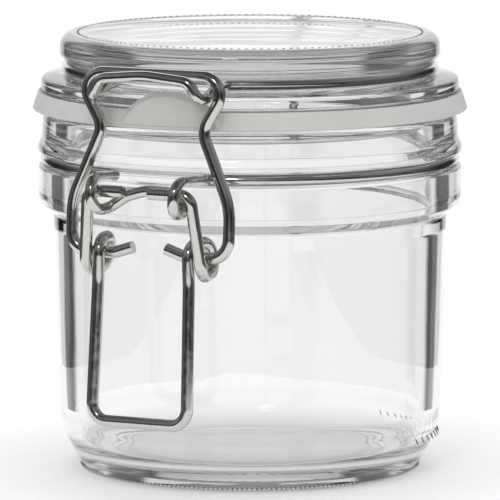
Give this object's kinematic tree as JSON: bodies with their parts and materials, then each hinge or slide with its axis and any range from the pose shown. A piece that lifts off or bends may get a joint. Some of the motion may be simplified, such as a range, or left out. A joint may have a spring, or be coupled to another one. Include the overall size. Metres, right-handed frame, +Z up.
{
  "type": "wire-bail glass canister",
  "caption": "Squat clear glass canister with a hinged glass lid, rubber sealing ring and an over-centre wire bail closure.",
  "frame": {"origin": "centre of the circle the jar stands on, on the axis of the glass, at table level", "axes": "+Z up along the axis of the jar, -Y towards the bail and its lever, +Y towards the hinge, +X to the right when facing the bail"},
  "size_m": [0.097, 0.1206, 0.0981],
  "materials": {
    "clear_glass": "clear pressed soda-lime glass, fire polished",
    "grey_rubber": "moulded light grey natural rubber, matte",
    "steel_wire": "bright drawn stainless steel wire"
  },
  "bodies": {
    "jar": {"jar_body": "clear_glass", "neck_wire": "steel_wire"},
    "lid": {"lid": "clear_glass", "lid_wire": "steel_wire", "gasket": "grey_rubber"},
    "lever": {"lever": "steel_wire"},
    "locking_loop": {"locking_loop": "steel_wire"}
  },
  "joints": [
    {"name": "lid_hinge", "type": "hinge", "parent": "jar", "child": "lid", "pos_m": [0, 0.0562, 0.0875], "axis": [-1, 0, 0], "range_deg": [0, 110]},
    {"name": "lever_swing", "type": "hinge", "parent": "jar", "child": "lever", "pos_m": [0, -0.0558, 0.0679], "axis": [-1, 0, 0], "range_deg": [0, 70]},
    {"name": "loop_swing", "type": "hinge", "parent": "lever", "child": "locking_loop", "pos_m": [0, -0.0506, 0.05385], "axis": [-1, 0, 0], "range_deg": [-47.6, 0]}
  ],
  "couplings": [
    {"joint": "loop_swing", "follows": "lever_swing", "ratio": -0.68}
  ]
}
